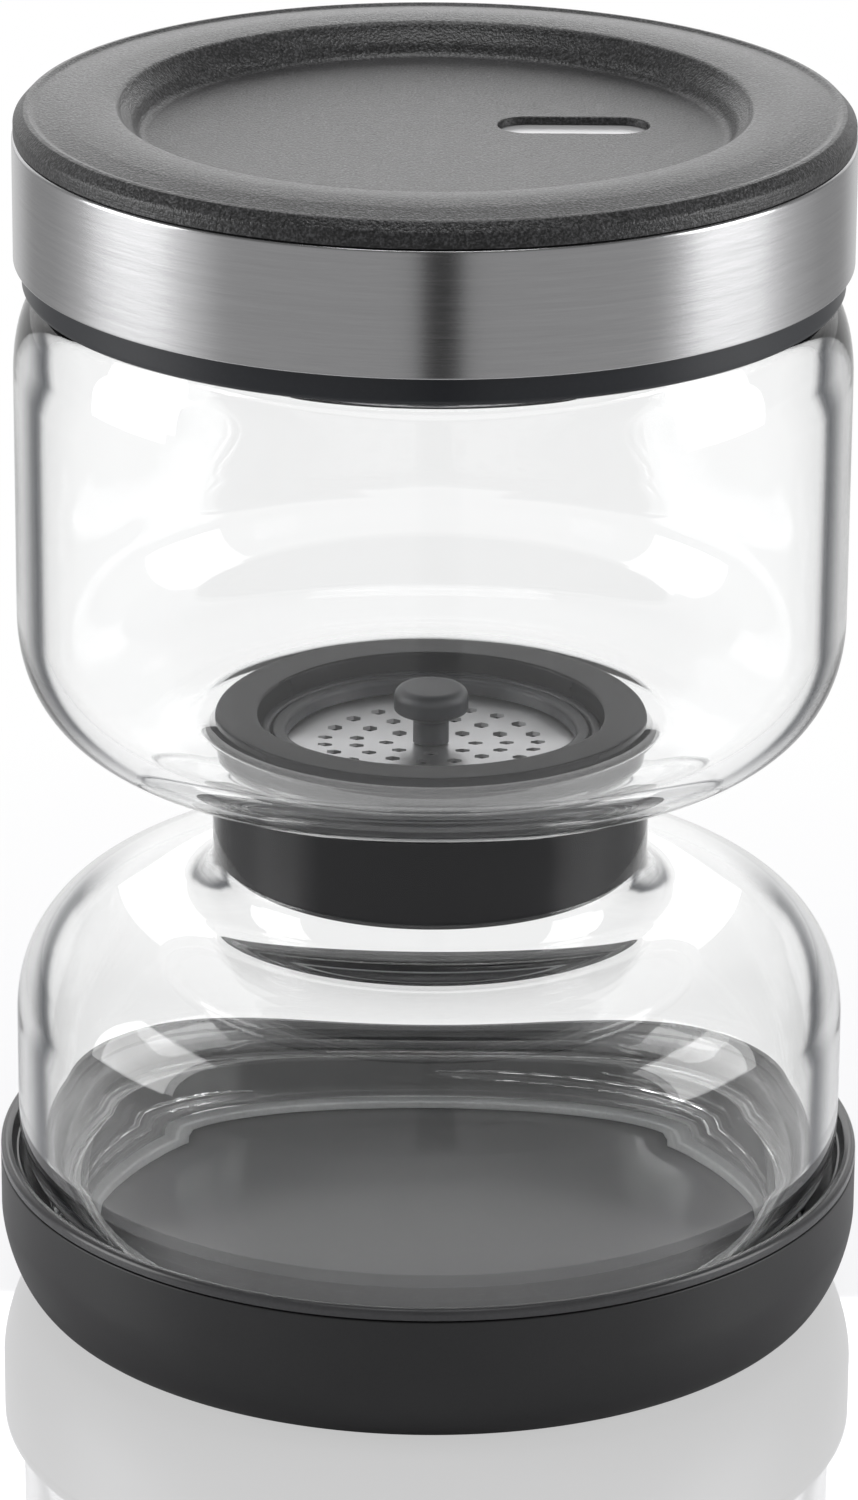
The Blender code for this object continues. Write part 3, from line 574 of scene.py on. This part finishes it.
class JAR_OT_glass(bpy.types.Operator):
    """Make the glass: bowl, neck and dome in one, with a thread on each mouth"""
    bl_idname = "jar.make_glass"
    bl_label = "Glass Body"

    mouth = 50.9
    shoulder_levels = (15.7, 25.2, 130.0, 140.8)
    corner_levels = (38.8, 57.0, 78.6, 97.2)
    radii = (55.9, 55.2)
    corner_starts = (36.5, 34.2)
    corner_fullness = 2.3
    fillets = (3.4, 4.9)
    thread_levels = (143.9, 8.4)

    def skin(self, inset):
        """Outline in millimetres from the upper mouth down to the lower one."""
        shape = bpy.context.scene.jar_shape
        neck = shape.neck_radius / MM
        under, over = self.fillets
        lower, upper = self.radii
        foot, low_wall, high_wall, top = self.shoulder_levels
        corner_foot, dome, underside, corner_top = self.corner_levels
        up, down = self.corner_starts
        return (swell((self.mouth - inset, high_wall), upper - self.mouth, top - high_wall,
                      90, 0, 14)
                + [(upper - inset, level) for level in np.linspace(high_wall, corner_top, 8)[1:-1]]
                + swell((up, corner_top), upper - up - inset, corner_top - underside - inset,
                        0, -90, 40, self.corner_fullness)
                + swell((neck + under, underside - under), under + inset, under + inset,
                        90, 180, 20)
                + swell((neck + over, dome + over), over + inset, over + inset, 180, 270, 24)
                + swell((down, corner_foot), lower - down - inset, dome - corner_foot - inset,
                        90, 0, 40, self.corner_fullness)
                + [(lower - inset, level)
                   for level in np.linspace(corner_foot, low_wall, 5)[1:-1]]
                + swell((self.mouth - inset, low_wall), lower - self.mouth, low_wall - foot,
                        0, -90, 14))

    def threads(self, radius, height, angle):
        """Both mouths' ridges."""
        outer = radius > (self.mouth - 1.0) * MM
        for level in self.thread_levels:
            near = outer & (np.abs(height - (level + 1.5) * MM) < 5 * MM)
            ridged = helix(radius, height, angle, level, 50.8, 1.1, 0.0, 0.25)
            radius = np.where(near, ridged, radius)
        return radius

    def execute(self, context):
        inset = context.scene.jar_shape.glass_wall / MM
        low, high = (corner.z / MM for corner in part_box("glass_body"))
        foot, top = self.shoulder_levels[0], self.shoulder_levels[3]
        half = inset / 2
        middle = self.mouth - half
        outline = (swell((middle, high - half), half, half, 180, 0, 16)
                   + wall(self.mouth, high - half, top)[1:]
                   + self.skin(0.0)
                   + wall(self.mouth, foot, low + half)[1:-1]
                   + swell((middle, low + half), half, half, 0, -180, 16)
                   + self.skin(inset)[::-1])
        glass = turned("jar_glass", rounded(outline), reshape=self.threads)
        seat(glass, clear_glass(), "clear_glass", "glass_body")
        return {"FINISHED"}


class JAR_OT_neck(bpy.types.Operator):
    """Make the soft collar in the neck and the strainer that sits in it"""
    bl_idname = "jar.make_neck"
    bl_label = "Collar and Strainer"

    def execute(self, context):
        shape, look = context.scene.jar_shape, context.scene.jar_finish
        bore = (shape.neck_radius - shape.glass_wall + shape.collar_press) / MM
        lip = swell((32.7, 75.2), 32.7 - bore, 32.7 - bore, 125, 180, 12)
        collar = turned("silicone_collar", rounded(
            [(23.2, 82.05, 0.4), (lip[0][0], 82.05, 0.4), *lip, (bore, 60.7, 1.2),
             (20.5, 60.7, 0.6), (20.5, 74.25, 0.3), (23.2, 74.25)]))
        seat(collar, moulded("collar_silicone", look.collar_colour, 0.22, 0.9 * MM, 0.004 * MM,
                             ior=1.2), "dark_silicone", "neck_collar")

        plastic = moulded("strainer_plastic", look.skirt_colour, 0.42, 0.3 * MM, 0.01 * MM)
        ring = turned("strainer_ring", rounded(
            [(22.9, 79.55, 0.4), (22.9, 74.55, 0.6), (19.4, 74.55, 0.5), (19.4, 76.35, 0.25),
             (21.6, 76.35), (21.6, 79.55, 0.4)]), 128)
        seat(ring, plastic, "strainer_plastic", "strainer_frame")
        clamp = turned("strainer_press_ring", rounded(
            [(21.3, 79.55, 0.3), (21.3, 77.55, 0.15), (19.4, 77.55, 0.15), (19.4, 79.55, 0.6)]),
            128)
        seat(clamp, plastic, "strainer_plastic", "strainer_clamp")
        knob = turned("strainer_pull", rounded(
            [(0, 85.55), (5.0, 85.55, 1.4), (5.0, 82.35, 0.5), (2.4, 81.05, 0.8),
             (2.4, 77.55, 0.1), (1.6, 77.55), (1.6, 76.35), (3.4, 76.35, 0.2),
             (3.4, 75.35, 0.3), (0, 75.35)]), 96)
        seat(knob, plastic, "strainer_plastic", "strainer_knob")
        disc = frame["nodes"]["strainer_disc"]
        disc.data.materials.clear()
        disc.data.materials.append(brushed_steel("strainer_steel", 0.95, 0.26))
        return {"FINISHED"}


class JAR_OT_base(bpy.types.Operator):
    """Make the base cup: shell, liner with its lip, foot ring and seal"""
    bl_idname = "jar.make_base"
    bl_label = "Base Cup"

    def execute(self, context):
        look = context.scene.jar_finish
        soft = moulded("soft_touch_plastic", look.base_colour, 0.42, 0.30 * MM, 0.012 * MM)
        shell = turned("base_cup", rounded(
            [(0, 2.2), (56.3, 2.2, 3.0), (56.3, 18.82, 0.15), (58.4, 18.82, 0.2),
             *swell((53.4, 11.4), 5.0, 11.0, 0, -90, 22, 1.6), (49.0, 0.4, 0.2),
             (49.0, 1.3), (43.0, 1.3), (43.0, 0.4, 0.2), (0, 0.4)]))
        seat(shell, soft, "base_plastic", "base_shell")

        # The liner is a lighter copy of the base's colour. It is partly the liner's own satin tone
        # and partly raised to paint the highlight along its lip.
        satin = moulded("liner_plastic", rgba(look.base_colour, 2.9)[:3], 0.24, 0.5 * MM,
                        0.006 * MM)
        outline = [(0, 4.3), (52.3, 4.3, 0.6), *wall(52.3, 5.4, 13.0), (52.3, 13.8, 0.5),
                   (55.3, 17.0, 0.8), (56.9, 20.35, 0.15), (57.5, 20.5, 0.3),
                   (58.4, 20.5, 0.7), (58.4, 19.0, 0.2), (56.0, 19.0), (56.0, 15.7),
                   (54.0, 13.8), (54.0, 2.5, 2.0), (0, 2.5)]
        liner = turned("base_liner_cup", rounded(outline), reshape=lugs(10.19))
        seat(liner, satin, "liner_plastic", "base_liner")

        foot = turned("foot_ring", rounded(
            [(48.7, 1.0), (48.7, 0.0, 0.4), (43.3, 0.0, 0.4), (43.3, 1.0)]))
        seat(foot, moulded("foot_silicone", look.collar_colour, 0.6, 0.4 * MM, 0.01 * MM),
             "dark_silicone", "base_foot")
        seal = turned("base_seal_ring", rounded(
            [(52.0, 6.2, 0.4), (52.0, 4.6, 0.4), (47.1, 4.6, 0.4), (47.1, 6.2, 0.4)]))
        seat(seal, moulded("seal_silicone", look.seal_colour, 0.5, 0.6 * MM, 0.01 * MM),
             "pale_silicone", "base_seal")
        return {"FINISHED"}


class JAR_OT_lid(bpy.types.Operator):
    """Make the lid: threaded core, brushed band, grained cap, bare plate and seal"""
    bl_idname = "jar.make_lid"
    bl_label = "Screw Lid"

    def execute(self, context):
        look = context.scene.jar_finish
        outline = [(0, 159.6), (49.5, 159.6, 0.3), (49.5, 160.85, 0.2), (53.9, 160.85, 0.2),
                   (53.9, 141.55, 0.8), (52.3, 141.55, 0.4), *wall(52.3, 142.3, 156.6),
                   (52.3, 157.8, 0.3), (46.8, 157.8, 0.2), (46.8, 153.8, 0.4),
                   (45.0, 153.8, 0.4), (45.0, 157.8, 0.8), (0, 157.8)]
        core = turned("lid_skirt", rounded(outline), reshape=lugs(142.11))
        seat(core, moulded("satin_plastic", look.skirt_colour, 0.30, 0.5 * MM, 0.004 * MM),
             "core_plastic", "lid_core")

        band = turned("steel_band", rounded(
            [(50.7, 161.95), (55.0, 161.95, 0.5), (55.0, 145.35, 0.25), (54.2, 145.35, 0.1),
             (54.2, 161.15, 0.3), (50.7, 161.15)]))
        seat(band, brushed_steel(), "band_steel", "lid_band")

        outline = [(0, 161.7), (38.1, 161.7, 1.5), (39.3, 163.4, 2.6), (40.7, 164.75, 1.4),
                   (41.45, 165.65, 0.9), (45.4, 166.2, 22.0), (52.2, 165.1, 0.6),
                   (52.9, 165.4, 0.3), (53.5, 165.3, 0.3), (54.8, 163.9, 0.8),
                   (54.8, 162.1, 0.12), (53.0, 162.05), (49.2, 162.05, 0.2),
                   (49.2, 159.9, 0.2), (47.5, 159.9, 0.2), (47.5, 164.0, 0.3),
                   (44.4, 164.0, 0.5), (39.5, 159.9, 0.5), (0, 159.9)]
        cap = turned("grained_cap", rounded(outline))
        self.cut_window(cap)
        seat(cap, grained_plastic(), "cap_plastic", "lid_cap")

        plate = self.stadium("window_plate", [(159.9, 1.3), (160.6, 1.3)])
        seat(plate, bare_plate(), "badge_steel", "lid_badge")
        seal = turned("lid_seal_ring", rounded(
            [(52.0, 157.5, 0.4), (52.0, 155.7, 0.4), (47.1, 155.7, 0.4), (47.1, 157.5, 0.4)]))
        seat(seal, bpy.data.materials["seal_silicone"], "pale_silicone", "lid_seal")
        return {"FINISHED"}

    @staticmethod
    def stadium(name, layers):
        """A solid with round ends at the window's place. Each layer is a height and a margin."""
        shape = bmesh.new()
        rings = []
        for level, margin in layers:
            end = 3.9 + margin
            outline = swell((6.0, 0.0), end, end, -90, 90, 24)
            outline += swell((-6.0, 0.0), end, end, 90, 270, 24)
            rings.append([shape.verts.new(((18.1 + x) * MM, (4.2 + y) * MM, level * MM))
                          for x, y in outline])
        for low, high in zip(rings, rings[1:]):
            for index in range(len(low)):
                other = (index + 1) % len(low)
                shape.faces.new((low[index], low[other], high[other], high[index]))
        shape.faces.new(rings[0][::-1])
        shape.faces.new(rings[-1])
        mesh = bpy.data.meshes.new(name)
        shape.to_mesh(mesh)
        shape.free()
        mesh.shade_smooth()
        mesh.set_sharp_from_angle(angle=math.radians(33))
        made = bpy.data.objects.new(name, mesh)
        bpy.context.scene.collection.objects.link(made)
        return made

    def cut_window(self, cap):
        """Open the window in the cap's floor, with the plate's pocket under it."""
        brim = [(161.45 + 0.25 * math.sin(turn), 0.25 - 0.25 * math.cos(turn))
                for turn in np.linspace(0, math.pi / 2, 5)]
        layers = [(159.0, 1.6), (160.7, 1.6), (160.7, 0.0)] + brim + [(162.5, 0.25)]
        tool = self.stadium("window_tool", layers)
        cut = cap.modifiers.new("window", "BOOLEAN")
        cut.operation = "DIFFERENCE"
        cut.solver = "EXACT"
        cut.object = tool
        bpy.context.view_layer.update()
        graph = bpy.context.evaluated_depsgraph_get()
        mesh = bpy.data.meshes.new_from_object(cap.evaluated_get(graph))
        cap.modifiers.clear()
        cap.data = mesh
        bpy.data.objects.remove(tool, do_unlink=True)
        if len(mesh.polygons) < 1000:
            raise RuntimeError("the window's cut left no cap")


# ---------------------------------------------------------------- stage

class JAR_OT_stage(bpy.types.Operator):
    """Make the floor, the soft lamps, the room and the camera"""
    bl_idname = "jar.make_stage"
    bl_label = "Stage and Camera"

    def execute(self, context):
        stage = context.scene.jar_stage
        self.make_floor(stage)
        self.make_room(context.scene, stage)
        for name, bearing in (("left", math.radians(-87)), ("right", math.radians(83))):
            place = Vector((math.sin(bearing), -math.cos(bearing), 0.0)) * 0.75
            self.make_softbox(f"{name}_softbox", place + Vector((0, 0, 0.29)), (0.40, 0.54),
                              stage.side_light)
        self.make_softbox("top_softbox", Vector((0.0, 0.08, 0.95)), (0.42, 0.42),
                          stage.top_light)
        card = self.make_softbox("back_card", Vector((0.0, 0.36, 0.26)), (0.26, 0.16),
                                 stage.back_light)
        card.visible_transmission = False
        self.make_camera(context.scene, stage)
        context.scene.view_settings.view_transform = "Standard"
        return {"FINISHED"}

    @staticmethod
    def make_floor(stage):
        """A wide pale disc. Away from the jar it shows as plain white, and glows with a painted
        reflection of the lamps.

        Close to the jar it is a lit gloss floor that keeps the jar's shadow and reflection. The
        glow farther out is what the jar's own gloss mirrors. It is a painted reflection of the
        lamps and the room, as dark and bright bearings round the jar, which the floor emits though
        it is no lamp.
        """
        bpy.ops.mesh.primitive_circle_add(vertices=96, radius=4.0, fill_type="NGON")
        floor = bpy.context.object
        floor.name = "floor"
        made, sheet = new_finish("pale_floor")
        point = sheet.node("ShaderNodeTexCoord", output="Object")
        lit = sheet.surface(Base_Color=rgba(stage.floor_colour), Roughness=0.3, IOR=1.5)
        direct, through = sheet.ray("Camera"), sheet.ray("Transmission")
        seen = direct.most(through)
        white = sheet.node("ShaderNodeEmission", {}, {"Color": (1, 1, 1, 1), "Strength": 1.0})
        pale = sheet.node("ShaderNodeMixShader", {},
                          {0: 0.79 * direct + through, 1: lit, 2: white})
        mirror = sheet.node("ShaderNodeBsdfAnisotropic", {"distribution": "GGX"},
                            {"Color": (0.97, 0.97, 1.0, 1.0), "Roughness": 0.02})
        near = sheet.node("ShaderNodeMixShader", {}, {0: 0.33 * direct, 1: pale, 2: mirror})
        # Painted reflection: the lamps and the room as a gloss floor would mirror them, by bearing
        # round the jar.
        mirrored = sheet.studio(point, (0, 0.0), (4.5, 0.0), (5.8, stage.room_light),
                                (58, stage.room_light), (74, 0.9), (92, 0.88), (108, 0.50),
                                (122, 0.33), (138, 0.33), (150, 0.6), (168, 0.8))
        away = sheet.node("ShaderNodeVectorMath", {"operation": "LENGTH"}, {"Vector": point},
                          "Value")
        front = sheet.studio(point, (0, stage.room_light), (20, stage.room_light), (30, 0.0))
        mirrored = mirrored.most(front * sheet.ramp(away, (0.24, 1.0), (0.36, 0.0)))
        # The painted reflection glows for the jar's gloss. Camera and through rays see plain
        # white.
        painted_reflection_glow = sheet.node("ShaderNodeEmission", {}, {
            "Color": mirrored * (1.0 - seen) + seen, "Strength": 1.0})
        far = sheet.ramp(away, (0.0, 0.0), (0.09, 0.0), (0.22, 1.0))
        shown = seen.most(sheet.ray("Glossy"))
        sheet.finish(sheet.node("ShaderNodeMixShader", {}, {0: far * shown, 1: near, 2: painted_reflection_glow}))
        floor.data.materials.append(made)

    @staticmethod
    def make_room(scene, stage):
        """A white backdrop behind the jar and a dimmer room in front of it."""
        world = bpy.data.worlds.new("studio")
        scene.world = world
        world.use_nodes = True
        sheet = Sheet(world.node_tree)
        way = sheet.node("ShaderNodeTexCoord", output="Generated")
        level = sheet.studio(way, (0, 0.0), (4.5, 0.0), (5.8, stage.room_light),
                             (64, stage.room_light), (104, 0.26), (132, 0.26), (150, 1.0))
        height = sheet.ramp(sheet.part(way, "Z"), (0.42, 1.0), (0.60, 0.45))
        seen = sheet.ray("Camera").most(sheet.ray("Transmission"))
        shade = level * height * (1.0 - seen) + seen
        sheet.node_output("ShaderNodeOutputWorld", {
            "Surface": sheet.node("ShaderNodeBackground", {}, {"Color": shade,
                                                               "Strength": 1.0})})

    @staticmethod
    def make_softbox(name, place, size, brightness):
        """A soft rectangular lamp that faces the jar."""
        lamp = bpy.data.lights.new(name, "AREA")
        lamp.shape = "RECTANGLE"
        lamp.size, lamp.size_y = size
        lamp.energy = brightness * math.pi * size[0] * size[1]
        made = bpy.data.objects.new(name, lamp)
        made.location = place
        made.rotation_euler = (Vector((0, 0, 0.09)) - place).to_track_quat("-Z", "Y").to_euler()
        made.visible_camera = False
        bpy.context.scene.collection.objects.link(made)
        return made

    @staticmethod
    def make_camera(scene, stage):
        """The photograph's own view."""
        made = bpy.data.cameras.new("jar_camera")
        made.lens = stage.camera_lens
        made.sensor_width = 36.0
        made.shift_x = -1.8 / 1500
        made.clip_start, made.clip_end = 0.05, 20.0
        camera = bpy.data.objects.new("jar_camera", made)
        camera.location = (0.0, -stage.camera_distance, stage.camera_height)
        camera.rotation_euler = (Euler((math.pi / 2 - stage.camera_pitch, 0, 0)).to_matrix()
                                 @ Matrix.Rotation(stage.camera_roll, 3, "Z")).to_euler()
        scene.collection.objects.link(camera)
        scene.camera = camera


class JAR_PT_panel(bpy.types.Panel):
    """Sidebar panel with the jar's pieces and settings"""
    bl_label = "Storage Jar"
    bl_idname = "JAR_PT_panel"
    bl_space_type = "VIEW_3D"
    bl_region_type = "UI"
    bl_category = "Jar"

    def draw(self, context):
        layout = self.layout
        for operator in OPERATORS:
            layout.operator(operator.bl_idname)
        for title, settings in (("Shape", context.scene.jar_shape),
                                ("Finish", context.scene.jar_finish),
                                ("Stage", context.scene.jar_stage)):
            column = layout.column(align=True)
            column.label(text=title)
            for key in settings.bl_rna.properties.keys():
                if key not in {"rna_type", "name"}:
                    column.prop(settings, key)


SETTINGS = {"jar_shape": JarShape, "jar_finish": JarFinish, "jar_stage": JarStage}
OPERATORS = (JAR_OT_glass, JAR_OT_neck, JAR_OT_base, JAR_OT_lid, JAR_OT_stage)
CLASSES = (*SETTINGS.values(), *OPERATORS, JAR_PT_panel)


def register():
    """Register the classes and hang the settings on the scene."""
    for each in CLASSES:
        bpy.utils.register_class(each)
    for key, group in SETTINGS.items():
        setattr(bpy.types.Scene, key, bpy.props.PointerProperty(type=group))


def unregister():
    """Take the settings and classes away again."""
    for key in SETTINGS:
        delattr(bpy.types.Scene, key)
    for each in reversed(CLASSES):
        bpy.utils.unregister_class(each)


def main():
    """Build the jar and its stage."""
    register()
    bpy.ops.jar.make_glass()
    bpy.ops.jar.make_neck()
    bpy.ops.jar.make_base()
    bpy.ops.jar.make_lid()
    bpy.ops.jar.make_stage()


if __name__ == "__main__":
    main()
